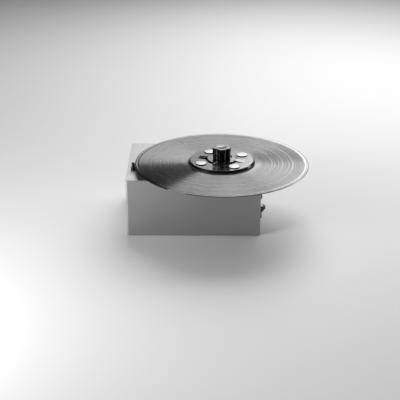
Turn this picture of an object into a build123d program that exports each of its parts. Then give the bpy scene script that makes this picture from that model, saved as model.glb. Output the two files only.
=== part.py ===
"""Compact record cleaning machine: a metal case with a label-sized platter, a screw clamp over the
record, a geared turntable drive, and a vacuum blower that draws dirty fluid into a tank.

Millimetres. +Z is up, +X to the right and +Y to the back of the machine. The origin is on the
floor, under the middle of the whole machine with a 12-inch record on it, so the spindle stands
at x = SPINDLE_X, y = 0.
"""
import os
from math import acos, cos, pi, radians, sin, tan

from build123d import *

# ---- driving dimensions -------------------------------------------------------------------------
RECORD_R = 150.75          # a 12-inch record
RECORD_T = 2.2             # over its label and its edge bead
SPINDLE_X = 6.6            # the spindle, right of the origin

CASE_W = 230.5             # left to right
CASE_D = 182.0             # front to back
CASE_TOP = 103.3           # the top plate's upper face, above the floor
FOOT_H = 2.0               # the gap under the case
WALL = 3.0                 # the aluminium of the case
CORNER_R = 3.0             # outside corners of the case
CASE_LEFT = -(RECORD_R + SPINDLE_X)
CASE_RIGHT = CASE_LEFT + CASE_W
CASE_FRONT = -57.9
CASE_BACK = CASE_FRONT + CASE_D
PLATE_LOW = CASE_TOP - WALL   # underside of the top plate
FLOOR_T = 1.5              # steel base plate
FLOOR_TOP = FOOT_H + FLOOR_T
PANEL_T = 2.0              # steel rear panel
PANEL_OUT = CASE_BACK - 2.5   # its outer face, set in from the back edges
PANEL_IN = PANEL_OUT - PANEL_T

PLATTER_R = 50.0           # as large as a record's label
PLATTER_LOW = 106.3
MAT_LOW = 110.8
RECORD_LOW = 112.3         # where the record lies
RECORD_TOP = RECORD_LOW + RECORD_T

CLAMP_R = 58.5             # the seal's lip, on the record
CLAMP_DISC_R = 54.7        # the flat top of the clamp
CLAMP_DISC_TOP = 120.0
HUB_R = 25.0
HUB_TOP = 122.2
CAP_R = 8.9                # the four polished caps
CAP_PITCH_R = 41.3
CAP_TOP = 121.9
CAP_ANGLE = 29.65
RIB_ANGLE = 74.6
KNOB_TOP = 143.0
KNOB_R = 16.2              # over the lobes at the top
KNOB_FOOT_R = 15.4         # and at the bottom

SHAFT_R = 5.0              # spindle shaft in its bushes
PIN_R = 3.52               # centre pin, through the record's hole
RUN = 0.05                 # radial clearance of a running fit
HOUSING_R = 13.0           # bearing housing, through the top plate
HOUSING_FLANGE_R = 26.0
BUSH_R = 8.0               # bush seats in the housing
BUSH_H = 12.0
PRESSED = 0.02             # radial gap where one piece is pressed on another
PRESSURE_ANGLE = radians(20)
GEAR_MODULE = 1.5
GEAR_TEETH = 48
PINION_TEETH = 16
GEAR_CENTRES = GEAR_MODULE * (GEAR_TEETH + PINION_TEETH) / 2
MOTOR_X = SPINDLE_X - GEAR_CENTRES
GEAR_LOW = 38.0
GEAR_HIGH = 46.0
DRIVE_LOW = 54.0           # drive plate
DRIVE_T = 3.0
DRIVE_TOP = DRIVE_LOW + DRIVE_T
HOUSING_LOW = DRIVE_LOW    # the bearing housing ends level with the drive plate's underside
MOTOR_SHAFT_R = 3.0
MOTOR_SCREWS = [(MOTOR_X, -15.0), (MOTOR_X, 15.0)]

M3_R = 1.5
TIE_R = 2.0                # the long screws through the pillars
TIE_HEAD_R = 3.5
TIE_HEAD_H = 1.3

SOCKET = (-107.35, 109.1)  # suction-arm socket, behind the record's edge
SOCKET_R = 6.0             # its bore
SOCKET_DEPTH = 30.0
SOCKET_TUBE_R = 7.5        # outside of its sleeve
SOCKET_TOP = CASE_TOP + 1.5
ARM_REST = (-147.15, -7.9)
ARM_REST_STUD_R = 2.0

TANK_LEFT = -138.5
TANK_RIGHT = -64.5
TANK_FRONT = 6.0
TANK_BACK = PANEL_IN - 0.4
TANK_LOW = 6.5
TANK_TOP = 62.0
TANK_WALL = 2.4
TANK_CORNER_R = 8.0
LID_T = 2.4
NECK_R = 8.0               # hose necks of the tank and the blower
NECK_BORE_R = 6.5
NECK_H = 10.0
HOSE_R = 10.0
HOSE_BORE_R = 8.1
HOSE_Z = 84.0
DRAIN_X = -127.35
DRAIN_Z = 14.0
DRAIN_BORE_R = 3.5
VALVE_Y = 129.0            # centre of the drain valve's ball
BALL_R = 6.5
DRAIN_PIPE_R = 6.0
SPIGOT_R = 5.0
STEM_R = 2.5

BLOWER = (20.65, 75.1)
FAN_R = 36.0
FAN_LOW = 37.0
FAN_TOP = 62.0
FAN_WALL = 2.2
BLOWER_SHAFT_R = 2.5
SPOUT = (BLOWER[0] + 10.0, BLOWER[0] + 32.0)
TANK_NECK = (-80.0, BLOWER[1])

SWITCH_Y = CASE_FRONT + 32.0
VACUUM_SWITCH_Z = 33.5
MOTOR_SWITCH_Z = 70.6
SCREW_KEY = 2.0            # across the flats of the screws' sockets
ROCKER_R = 11.4            # its end faces turn about the pivot at this radius
ROCKER_TILT = 19.0         # from the middle to either stop
ROCKER_PIVOT = 1.6         # outside the case wall
BLADE_STEP = 5.5           # between a switch's terminals
SWITCH_HOLE = (6.7, 12.4)  # half the width and half the height of its oblong hole

INLET_X = -37.85           # mains inlet
INLET_LOW = 9.0
INLET_HIGH = 51.0
INLET_HALF = 13.8          # half the width of its body
INLET_PINS = ((-7.0, 19.8), (7.0, 19.8), (0.0, 24.0))
DRAWER_LOW = 35.3          # fuse drawer
DRAWER_HIGH = 44.1

BOARD_X = (-138.0, -66.0)  # power board
BOARD_Y = (-50.0, 4.0)
BOARD_LOW = 11.5
BOARD_TOP = BOARD_LOW + 1.6
BOARD_POSTS = [(x, y) for x in (BOARD_X[0] + 5, BOARD_X[1] - 5) for y in (BOARD_Y[0] + 5, BOARD_Y[1] - 5)]

LOW = (Align.CENTER, Align.CENTER, Align.MIN)


# ---- shapes used by many pieces -----------------------------------------------------------------
def rod(radius, low, high, at=(0, 0)):
    """A round upright solid from z = low to z = high."""
    return Pos(at[0], at[1], low) * Cylinder(radius, high - low, align=LOW)


def tube(outer, inner, low, high, at=(0, 0)):
    """A round upright tube."""
    return rod(outer, low, high, at) - rod(inner, low, high, at)


def block(x, y, z):
    """A box between two limits on each axis."""
    size = (x[1] - x[0], y[1] - y[0], z[1] - z[0])
    middle = Pos((x[0] + x[1]) / 2, (y[0] + y[1]) / 2, (z[0] + z[1]) / 2)
    return middle * Box(*size)


def turned(points, at=(0, 0)):
    """A solid turned about an upright axis from (radius, height) points."""
    outline = make_face(Plane.XZ * Polyline(*points, close=True))
    return Pos(at[0], at[1], 0) * revolve(outline, Axis.Z)


def along_y(radius, near, far, x, z):
    """A round solid that lies along Y."""
    lying = Rotation(-90, 0, 0) * Cylinder(radius, far - near, align=LOW)
    return Pos(x, near, z) * lying


def around(radius, count, start=0.0, centre=(0, 0)):
    """Places evenly spaced on a circle."""
    turns = [radians(start + 360.0 * i / count) for i in range(count)]
    return [(centre[0] + radius * cos(a), centre[1] + radius * sin(a)) for a in turns]


def hexagon(at, low, high):
    """The hexagon socket of a screw's head."""
    outline = RegularPolygon(SCREW_KEY / 2, 6, major_radius=False)
    return Pos(at[0], at[1], low) * extrude(outline, high - low)


def flat_screw(at, top, length, spare=0.0):
    """A countersunk M3 screw that points down, or its hole when spare is over zero."""
    head = Pos(at[0], at[1], top) * Rotation(180, 0, 0) * Cone(3.0 + spare, 1.5 + spare, 1.6, align=LOW)
    screw = head + rod(1.5 + spare, top - length, top, at)
    return screw if spare > 0 else screw - hexagon(at, top - 1.1, top + 0.1)


def pan_screw(at, seat, length, shank=1.5, head=2.8, head_h=1.4):
    """A pan-head screw that points up from a seat facing the floor."""
    dome = rod(head, seat - head_h, seat, at)
    dome = chamfer(dome.edges().group_by(Axis.Z)[0], 0.5)
    screw = dome + rod(shank, seat - 0.1, seat + length, at)
    return screw - hexagon(at, seat - head_h - 0.1, seat - head_h + 0.9)


# ---- case ---------------------------------------------------------------------------------------
SPINDLE = (SPINDLE_X, 0.0)
MOTOR = (MOTOR_X, 0.0)
BEARING_SCREWS = around(20.0, 3, 90.0, SPINDLE)
DRIVE_POSTS = [(x, y) for x in (MOTOR_X - 16.0, SPINDLE_X + 22.0) for y in (-22.0, 22.0)]
PILLARS = [(x, y) for x in (CASE_LEFT + 12.5, CASE_RIGHT - 12.5) for y in (CASE_FRONT + 9.0, PANEL_IN - 6.0)]
SIDE_SCREW_Y = PANEL_IN - 6.0
SIDE_SCREW_Z = (16.0, 88.0)
CLINCH_H = 5.0             # height of the nuts pressed to the top plate
SWITCHES = {"vacuum": VACUUM_SWITCH_Z, "motor": MOTOR_SWITCH_Z}


def side_screw(side, z, spare=0.0):
    """A countersunk screw through a side wall (side is -1 left or +1 right)."""
    face = CASE_RIGHT if side > 0 else CASE_LEFT
    upright = flat_screw((0, 0), 0, 7.0, spare)
    return Pos(face, SIDE_SCREW_Y, z) * Rotation(0, 90 * side, 0) * upright


def case_wrap():
    """Front and sides, folded from one sheet, with oblong holes for the two switches."""
    width = CASE_W - 2 * WALL
    outline = Rectangle(CASE_W, CASE_D)
    outline = fillet(outline.vertices().group_by(Axis.Y)[0], CORNER_R)
    inside = Pos(0, WALL) * Rectangle(width, CASE_D)
    inside = fillet(inside.vertices().group_by(Axis.Y)[0], 0.8)
    middle = Pos((CASE_LEFT + CASE_RIGHT) / 2, (CASE_FRONT + CASE_BACK) / 2, FOOT_H)
    wrap = middle * extrude(outline - inside, PLATE_LOW - FOOT_H)
    for z in SWITCHES.values():
        y_hole = (SWITCH_Y - SWITCH_HOLE[0], SWITCH_Y + SWITCH_HOLE[0])
        z_hole = (z - SWITCH_HOLE[1], z + SWITCH_HOLE[1])
        wrap -= block((CASE_RIGHT - 5, CASE_RIGHT + 5), y_hole, z_hole)
    for side in (-1, 1):
        for z in SIDE_SCREW_Z:
            wrap -= side_screw(side, z, RUN)
    return wrap


def top_plate():
    """Flat plate over the whole case, with a finely broken upper edge."""
    outline = RectangleRounded(CASE_W, CASE_D, CORNER_R)
    middle = Pos((CASE_LEFT + CASE_RIGHT) / 2, (CASE_FRONT + CASE_BACK) / 2, PLATE_LOW)
    plate = middle * extrude(outline, WALL)
    plate = chamfer(plate.edges().group_by(Axis.Z)[-1], 0.3)
    plate -= rod(HOUSING_R + 2 * RUN, PLATE_LOW - 1, CASE_TOP + 1, SPINDLE)
    plate -= rod(SOCKET_TUBE_R + 2 * RUN, PLATE_LOW - 1, CASE_TOP + 1, SOCKET)
    plate -= rod(ARM_REST_STUD_R + RUN, PLATE_LOW - 1, CASE_TOP + 1, ARM_REST)
    for at in BEARING_SCREWS + DRIVE_POSTS:
        plate -= flat_screw(at, CASE_TOP, 9.0, RUN)
    return plate


def base_plate():
    """Steel sheet that closes the case below, with cooling slots under the blower and the board."""
    x = (CASE_LEFT + WALL + 0.2, CASE_RIGHT - WALL - 0.2)
    plate = block(x, (CASE_FRONT + WALL + 0.2, PANEL_IN - 0.2), (FOOT_H, FLOOR_TOP))
    slot = extrude(SlotOverall(30.0, 4.0), 2 * FLOOR_T)
    for centre in ((-100.0, -24.0), (SPINDLE_X + 30, 10.0)):
        for i in range(5):
            plate -= Pos(centre[0], centre[1] + 9.0 * (i - 2), FOOT_H - 0.5) * slot
    for at in PILLARS:
        plate -= rod(TIE_R + 2 * RUN, 0, FLOOR_TOP + 1, at)
    for at in foot_places():
        plate -= rod(3.0, 0, FLOOR_TOP + 1, at)
    return plate


def foot_places():
    """Centres of the four feet, inside the pillars."""
    xs = (CASE_LEFT + 24.0, CASE_RIGHT - 24.0)
    ys = (CASE_FRONT + 22.0, CASE_BACK - 26.0)
    return [(x, y) for x in xs for y in ys]


def foot(at):
    """A low rubber foot with a barbed stem pushed through the base plate."""
    pad = chamfer(rod(9.0, 0, FOOT_H, at).edges().group_by(Axis.Z)[0], 0.5)
    stem = rod(2.9, FOOT_H - 0.1, FLOOR_TOP, at)
    barb = turned([(0, FLOOR_TOP), (3.6, FLOOR_TOP), (2.2, FLOOR_TOP + 2.2), (0, FLOOR_TOP + 2.2)], at)
    return pad + stem + barb


def rear_panel():
    """Steel panel between the sides, with folded flanges that the side screws hold."""
    x = (CASE_LEFT + WALL + 0.1, CASE_RIGHT - WALL - 0.1)
    z = (FLOOR_TOP + 0.1, PLATE_LOW - 0.1)
    panel = block(x, (PANEL_IN, PANEL_OUT), z)
    for side, edge in ((-1, x[0]), (1, x[1])):
        inner = edge - side * PANEL_T
        panel += block(sorted((edge, inner)), (PANEL_IN - 12.0, PANEL_IN), (z[0] + 6, z[1] - 6))
        for height in SIDE_SCREW_Z:
            panel -= side_screw(side, height, RUN)
    inlet = (INLET_X - INLET_HALF - 0.1, INLET_X + INLET_HALF + 0.1)
    panel -= block(inlet, (PANEL_IN - 1, PANEL_OUT + 1), (INLET_LOW + 1.1, INLET_HIGH - 1.1))
    panel -= along_y(6.2, PANEL_IN - 1, PANEL_OUT + 1, DRAIN_X, DRAIN_Z)
    for i in range(5):
        slot_x = BLOWER[0] + 13.0 + 4.0 * i
        panel -= block((slot_x - 1, slot_x + 1), (PANEL_IN - 1, PANEL_OUT + 1), (44.0, 56.0))
    for i in range(9):
        slot_x = -40.0 + 7.0 * i
        panel -= block((slot_x - 1.5, slot_x + 1.5), (PANEL_IN - 1, PANEL_OUT + 1), (72.0, 92.0))
    return panel


def corner_pillars():
    """Tubular pillars that keep the base and the top plate apart."""
    return [tube(5.0, TIE_R + 2 * RUN, FLOOR_TOP, PLATE_LOW - CLINCH_H, at) for at in PILLARS]


def case_fasteners():
    """Long tie screws up through the pillars, clinch nuts in the top plate, and the side screws."""
    ties = [pan_screw(at, FOOT_H, PLATE_LOW - 0.8 - FOOT_H, TIE_R, TIE_HEAD_R, TIE_HEAD_H) for at in PILLARS]
    nuts = [tube(4.0, TIE_R + RUN, PLATE_LOW - CLINCH_H, PLATE_LOW, at) for at in PILLARS]
    sides = [side_screw(side, z) for side in (-1, 1) for z in SIDE_SCREW_Z]
    return ties + nuts + sides


# ---- spindle, bearing and platter ---------------------------------------------------------------
def bearing_housing():
    """Turned aluminium housing under the top plate, bored for a bush at each end."""
    relief = BUSH_R + 0.8
    flange = PLATE_LOW - 4
    profile = [(BUSH_R, HOUSING_LOW), (HOUSING_R, HOUSING_LOW), (HOUSING_R, flange - 2),
               (HOUSING_R + 2, flange), (HOUSING_FLANGE_R, flange), (HOUSING_FLANGE_R, PLATE_LOW),
               (HOUSING_R, PLATE_LOW), (HOUSING_R, CASE_TOP), (BUSH_R, CASE_TOP),
               (BUSH_R, CASE_TOP - BUSH_H), (relief, CASE_TOP - BUSH_H - 1),
               (relief, HOUSING_LOW + BUSH_H + 1), (BUSH_R, HOUSING_LOW + BUSH_H)]
    housing = turned(profile, SPINDLE)
    for at in BEARING_SCREWS:
        housing -= rod(M3_R + RUN, PLATE_LOW - 6, PLATE_LOW + 1, at)
    return housing


def bearing_bushes():
    """Bronze bushes; the upper one has a flange that takes the platter's weight."""
    bore, outer, flange = SHAFT_R + RUN, BUSH_R - PRESSED, 11.0
    upper = turned([(bore, CASE_TOP - BUSH_H), (outer, CASE_TOP - BUSH_H), (outer, CASE_TOP),
                    (flange, CASE_TOP), (flange, CASE_TOP + 1), (bore, CASE_TOP + 1)], SPINDLE)
    lower = tube(outer, bore, HOUSING_LOW, HOUSING_LOW + BUSH_H, SPINDLE)
    return [upper, lower]


def thrust_washer():
    """Nylon washer between the bush and the spindle's collar."""
    return tube(10.5, SHAFT_R + 2 * RUN, CASE_TOP + 1, CASE_TOP + 1.5, SPINDLE)


def spindle_shaft():
    """Steel spindle: a shaft in the bushes, a collar under the platter and a threaded centre pin."""
    collar = CASE_TOP + 1.55
    profile = [(0, 33.0), (SHAFT_R - 0.6, 33.0), (SHAFT_R, 33.6), (SHAFT_R, 35.0), (SHAFT_R - 0.5, 35.0),
               (SHAFT_R - 0.5, 36.1), (SHAFT_R, 36.1), (SHAFT_R, collar), (13.0, collar),
               (13.0, PLATTER_LOW), (8.0, PLATTER_LOW), (8.0, MAT_LOW - 0.4), (PIN_R, MAT_LOW - 0.4),
               (PIN_R, 134.5), (PIN_R - 1.6, 137.0), (0, 137.0)]
    return turned(profile, SPINDLE)


def platter():
    """Label-sized platter, hollowed below to a rim, a web and a hub."""
    profile = [(8.02, PLATTER_LOW), (16.0, PLATTER_LOW), (18.0, MAT_LOW - 2.2), (44.0, MAT_LOW - 2.2),
               (45.5, PLATTER_LOW), (PLATTER_R - 1.2, PLATTER_LOW), (PLATTER_R, PLATTER_LOW + 1.2),
               (PLATTER_R, MAT_LOW - 0.5), (PLATTER_R - 0.5, MAT_LOW), (8.02, MAT_LOW)]
    return turned(profile, SPINDLE)


def platter_mat():
    """Thin rubber mat with a groove round its middle."""
    profile = [(9.0, MAT_LOW), (PLATTER_R - 0.8, MAT_LOW), (PLATTER_R - 0.8, RECORD_LOW),
               (40.0, RECORD_LOW), (40.0, RECORD_LOW - 0.5), (36.0, RECORD_LOW - 0.5),
               (36.0, RECORD_LOW), (9.0, RECORD_LOW)]
    return turned(profile, SPINDLE)


def record():
    """Vinyl record: a raised land round the hole, thinner playing area and a rounded edge bead."""
    land, thin, bead, label = 50.6, 0.3, 148.6, 50.1
    top = [(3.62, RECORD_TOP - 0.15), (label, RECORD_TOP - 0.15), (label, RECORD_TOP), (land, RECORD_TOP),
           (land + 0.8, RECORD_TOP - thin), (bead, RECORD_TOP - thin), (bead + 0.8, RECORD_TOP)]
    edge = [(RECORD_R - 0.6, RECORD_TOP), (RECORD_R, RECORD_TOP - 0.6), (RECORD_R, RECORD_LOW + 0.6),
            (RECORD_R - 0.6, RECORD_LOW)]
    middle = RECORD_LOW + RECORD_T / 2
    bottom = [(r, 2 * middle - z) for r, z in reversed(top)]
    return turned(top + edge + bottom, SPINDLE)


def record_labels():
    """A paper label pressed into each side of the record."""
    upper = tube(50.0, 3.7, RECORD_TOP - 0.15, RECORD_TOP, SPINDLE)
    lower = tube(50.0, 3.7, RECORD_LOW, RECORD_LOW + 0.15, SPINDLE)
    return [upper, lower]


# ---- turntable drive ----------------------------------------------------------------------------
def gear_face(teeth, first_angle, backlash=0.16):
    """A spur gear's outline: each flank is an arc through three points of its involute."""
    pitch = GEAR_MODULE * teeth / 2
    base = pitch * cos(PRESSURE_ANGLE)
    tip = pitch + GEAR_MODULE
    root = pitch - 1.25 * GEAR_MODULE
    start = max(base, root)

    def half_angle(radius):
        pressure = acos(min(1.0, base / radius))
        involute = tan(PRESSURE_ANGLE) - PRESSURE_ANGLE - (tan(pressure) - pressure)
        return pi / (2 * teeth) - backlash / (2 * pitch) + involute

    def point(radius, angle):
        return (radius * cos(angle), radius * sin(angle))

    edges = []
    for i in range(teeth):
        middle = radians(first_angle) + 2 * pi * i / teeth
        following = middle + 2 * pi / teeth
        radii = (start, (start + tip) / 2, tip)
        rising = [point(r, middle - half_angle(r)) for r in radii]
        falling = [point(r, middle + half_angle(r)) for r in reversed(radii)]
        root_out = point(root, middle + half_angle(start))
        root_next = point(root, following - half_angle(start))
        edges.append(ThreePointArc(*rising))
        edges.append(Line(rising[-1], falling[0]))
        edges.append(ThreePointArc(*falling))
        if root < start:
            edges.append(Line(falling[-1], root_out))
        edges.append(Line(root_out, root_next))
        if root < start:
            edges.append(Line(root_next, point(start, following - half_angle(start))))
    return make_face(edges)


def spindle_gear():
    """Moulded wheel on the spindle: a toothed rim, a thin web with round windows, and a hub."""
    width = GEAR_HIGH - GEAR_LOW
    gear = Pos(0, 0, GEAR_LOW) * extrude(gear_face(GEAR_TEETH, 0.0), width)
    for low, high in ((GEAR_LOW, GEAR_LOW + 2.6), (GEAR_HIGH - 2.6, GEAR_HIGH)):
        gear -= tube(30.5, 10.5, low, high)
    for at in around(20.5, 6):
        gear -= rod(6.2, GEAR_LOW, GEAR_HIGH, at)
    gear += rod(10.5, GEAR_LOW - 1.9, HOUSING_LOW - 0.5)
    gear -= rod(SHAFT_R + PRESSED, 30, 60)
    return Pos(*SPINDLE, 0) * gear


def gear_circlip():
    """Open spring ring in the spindle's groove, under the gear."""
    ring = tube(7.2, SHAFT_R - 0.48, 35.05, 36.05, SPINDLE)
    return ring - block((SPINDLE_X - 2.2, SPINDLE_X + 2.2), (-9, 0), (34, 37))


def drive_plate():
    """Steel plate that carries the motor and steadies the foot of the bearing housing."""
    x = (MOTOR_X - 22.0, SPINDLE_X + 28.0)
    outline = RectangleRounded(x[1] - x[0], 58.0, 8.0)
    plate = Pos((x[0] + x[1]) / 2, 0, DRIVE_LOW) * extrude(outline, DRIVE_T)
    plate -= rod(HOUSING_R + RUN, DRIVE_LOW - 1, DRIVE_TOP + 1, SPINDLE)
    plate -= rod(6.3, DRIVE_LOW - 1, DRIVE_TOP + 1, MOTOR)
    for at in DRIVE_POSTS + MOTOR_SCREWS:
        plate -= rod(M3_R + 2 * RUN, DRIVE_LOW - 1, DRIVE_TOP + 1, at)
    return plate


def drive_posts():
    """Hexagonal pillars that hang the drive plate from the top plate."""
    posts = []
    for at in DRIVE_POSTS:
        post = Pos(at[0], at[1], DRIVE_TOP) * extrude(RegularPolygon(4.5, 6), PLATE_LOW - DRIVE_TOP)
        post -= rod(M3_R + RUN, DRIVE_TOP - 1, DRIVE_TOP + 9, at)
        post -= rod(M3_R + RUN, PLATE_LOW - 9, PLATE_LOW + 1, at)
        posts.append(post)
    return posts


def drive_screws():
    """Screws of the bearing housing, the drive plate's pillars and the motor."""
    screws = [flat_screw(at, CASE_TOP, 6.8) for at in BEARING_SCREWS]
    screws += [flat_screw(at, CASE_TOP, 9.0) for at in DRIVE_POSTS]
    screws += [pan_screw(at, DRIVE_LOW, 10.0) for at in DRIVE_POSTS + MOTOR_SCREWS]
    return screws


def drive_motor():
    """Small gear motor: a stepped gearbox with its motor can on top and two solder tags."""
    profile = [(0, DRIVE_LOW + 0.4), (6.0, DRIVE_LOW + 0.4), (6.0, DRIVE_TOP), (18.5, DRIVE_TOP),
               (18.5, 76.0), (17.2, 76.5), (17.2, 92.0), (15.5, 93.5), (6.0, 93.5), (6.0, 95.5), (0, 95.5)]
    motor = turned(profile, MOTOR)
    motor -= rod(MOTOR_SHAFT_R + RUN, DRIVE_LOW, 66.0, MOTOR)
    for at in MOTOR_SCREWS:
        motor -= rod(M3_R + RUN, DRIVE_LOW, DRIVE_TOP + 8, at)
    for x in (-9.0, 9.0):
        motor += block((MOTOR_X + x - 1.4, MOTOR_X + x + 1.4), (-0.4, 0.4), (93.0, 98.0))
    return motor


def motor_shaft():
    """Output shaft of the gear motor."""
    return chamfer(rod(MOTOR_SHAFT_R, 36.0, 65.5, MOTOR).edges().group_by(Axis.Z)[0], 0.4)


def motor_pinion():
    """Brass pinion with a plain boss above its teeth."""
    pinion = Pos(0, 0, GEAR_LOW - 0.5) * extrude(gear_face(PINION_TEETH, 180 / PINION_TEETH), 9.0)
    pinion += rod(7.0, GEAR_HIGH + 0.4, GEAR_HIGH + 5.0)
    pinion -= rod(MOTOR_SHAFT_R + PRESSED, 30, 60)
    return Pos(*MOTOR, 0) * pinion


# ---- record clamp -------------------------------------------------------------------------------
def clamp_body():
    """Moulded clamp: a bevelled disc with a raised hub, four flared ribs and four round seats."""
    low = RECORD_TOP + 0.7
    profile = [(9.3, low + 2.0), (16.0, low + 2.0), (16.0, low), (20.0, low), (22.0, low + 1.6),
               (49.5, low + 1.6), (50.0, low), (51.0, low), (51.0, low + 1.0), (56.8, low + 1.0),
               (56.8, low + 2.1), (CLAMP_DISC_R + 0.5, CLAMP_DISC_TOP - 0.35),
               (CLAMP_DISC_R, CLAMP_DISC_TOP), (HUB_R + 3.2, CLAMP_DISC_TOP),
               (HUB_R + 2.6, CLAMP_DISC_TOP - 1.0), (HUB_R + 0.4, CLAMP_DISC_TOP - 1.0),
               (HUB_R, HUB_TOP - 0.6), (HUB_R - 0.6, HUB_TOP), (12.0, HUB_TOP), (12.0, HUB_TOP - 1.2),
               (9.3, HUB_TOP - 1.2)]
    body = turned(profile)
    for i in range(4):
        body += Rotation(0, 0, RIB_ANGLE + 90 * i) * clamp_rib()
    for at in around(CAP_PITCH_R, 4, CAP_ANGLE):
        body -= rod(CAP_R + 0.5, CLAMP_DISC_TOP - 0.8, CLAMP_DISC_TOP + 1, at)
        body -= rod(2.55, low, CLAMP_DISC_TOP, at)
    body -= rod(1.25 + RUN, HUB_TOP - 3.0, HUB_TOP + 1, around(18.6, 1, 26.0)[0])
    return Pos(*SPINDLE, 0) * body


def clamp_rib():
    """One gusset along +X: it widens outwards and runs down from the hub to the disc."""
    inner, outer = HUB_R - 2.0, 41.0
    plan = make_face(Polyline((inner, -4.0), (outer, -6.6), (outer, 6.6), (inner, 4.0), close=True))
    rib = extrude(Pos(0, 0, CLAMP_DISC_TOP - 1.2) * plan, HUB_TOP - CLAMP_DISC_TOP + 1.2)
    slope = Plane.XZ * Polyline((inner, HUB_TOP + 1), (HUB_R + 0.5, HUB_TOP - 0.3),
                                (outer, CLAMP_DISC_TOP + 0.15), (outer + 2, HUB_TOP + 1), close=True)
    return rib - extrude(make_face(slope), 10, both=True)


def clamp_seal():
    """Soft ring under the clamp's edge that keeps fluid off the label."""
    low = RECORD_TOP - 0.25
    inner = 51.7
    profile = [(inner, low), (CLAMP_R, low), (CLAMP_R, low + 0.7), (CLAMP_R - 1.4, low + 1.9),
               (inner, low + 1.9)]
    return turned(profile, SPINDLE)


def clamp_cap(at):
    """Polished metal cap with a low dome, on a stem pressed into the clamp."""
    seat = CLAMP_DISC_TOP - 0.8
    rise = 0.4
    ball = (CAP_R ** 2 + rise ** 2) / (2 * rise)
    disc = rod(CAP_R, seat, CAP_TOP + 1) & Pos(0, 0, CAP_TOP - ball) * Sphere(ball)
    return Pos(SPINDLE_X + at[0], at[1], 0) * (disc + rod(2.5, seat - 3.0, seat + 0.1))


def clamp_index_pin():
    """Small pin on the hub beside the knob."""
    at = around(18.6, 1, 26.0, SPINDLE)[0]
    return chamfer(rod(1.25, HUB_TOP - 3.0, HUB_TOP + 2.3, at).edges().group_by(Axis.Z)[-1], 0.3)


def knob_face(radius):
    """Five-lobed outline of the clamp knob."""
    flute, depth = 10.0, 2.0
    face = Circle(radius)
    for at in around(radius + flute - depth, 5, -54.0):
        face -= Pos(*at) * Circle(flute)
    return fillet(face.vertices(), 1.6)


def clamp_knob():
    """Tall five-lobed knob, a little wider at the top, with a dished top and a chamfered foot."""
    foot_z = HUB_TOP + 0.35
    levels = ((foot_z, KNOB_FOOT_R - 1.1), (foot_z + 1.2, KNOB_FOOT_R), (KNOB_TOP - 0.9, KNOB_R),
              (KNOB_TOP, KNOB_R - 0.7))
    knob = None
    for (z0, r0), (z1, r1) in zip(levels, levels[1:]):
        part = loft([Pos(0, 0, z0) * knob_face(r0), Pos(0, 0, z1) * knob_face(r1)], ruled=True)
        knob = part if knob is None else knob + part
    dish = Pos(0, 0, KNOB_TOP + 59.4) * Sphere(60.0)
    knob -= dish
    knob -= rod(5.8, foot_z - 1, foot_z + 16.0)
    return Pos(*SPINDLE, 0) * knob


def clamp_nut():
    """Brass threaded insert of the knob; its neck turns in the clamp's hub."""
    low = RECORD_TOP + 1.4
    foot_z = HUB_TOP + 0.35
    bore = PIN_R + 0.08
    profile = [(bore, low), (7.6, low), (7.6, low + 0.4), (7.0, low + 0.4), (7.0, low + 1.3),
               (9.3 - RUN, low + 1.3), (9.3 - RUN, HUB_TOP - 1.0), (11.5, HUB_TOP - 1.0), (11.5, foot_z),
               (5.78, foot_z), (5.78, foot_z + 15.0), (bore, foot_z + 15.0)]
    return turned(profile, SPINDLE)


def clamp_circlip():
    """Spring ring that keeps the knob in the clamp."""
    low = RECORD_TOP + 1.85
    ring = tube(10.8, 7.05, low, low + 0.75, SPINDLE)
    return ring - block((SPINDLE_X - 3, SPINDLE_X + 3), (-12, 0), (low - 1, low + 2))


# ---- switches -----------------------------------------------------------------------------------
def switch_body(z):
    """Panel-mounted rocker switch: a bezel, a box behind the wall and its blade terminals."""
    face = CASE_RIGHT
    y = (SWITCH_Y - 6.6, SWITCH_Y + 6.6)
    body = block((face - 18.0, face + 0.5), y, (z - 12.3, z + 12.3))
    bezel = block((face, face + 1.8), (SWITCH_Y - 7.5, SWITCH_Y + 7.5), (z - 13.0, z + 13.0))
    bezel = chamfer(bezel.edges().group_by(Axis.X)[-1], 0.6)
    body += bezel
    body -= block((face - 9.0, face + 3.0), (SWITCH_Y - 5.9, SWITCH_Y + 5.9), (z - 11.65, z + 11.65))
    blade_y = (SWITCH_Y - 2.4, SWITCH_Y + 2.4)
    for dz in (-BLADE_STEP, 0.0, BLADE_STEP):
        body += block((face - 25.0, face - 17.5), blade_y, (z + dz - 0.4, z + dz + 0.4))
    return body


def rocker(z, tilt):
    """Rocker with end faces that are arcs about its pivot and a valley across its middle."""
    corner = 58.8
    inner = 122.0

    def rim(angle):
        return (ROCKER_R * cos(radians(angle)), ROCKER_R * sin(radians(angle)))

    upper = ThreePointArc(rim(corner), rim((corner + inner) / 2), rim(inner))
    lower = ThreePointArc(rim(-inner), rim(-(corner + inner) / 2), rim(-corner))
    back = Line(rim(inner), rim(-inner))
    front = Polyline(rim(-corner), (1.9, 0.0), rim(corner))
    outline = make_face(Plane.XZ * (upper + back + lower + front))
    body = extrude(outline, 5.7, both=True)
    body = Rotation(0, tilt, 0) * body
    return Pos(CASE_RIGHT + ROCKER_PIVOT, SWITCH_Y, z) * body


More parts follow.
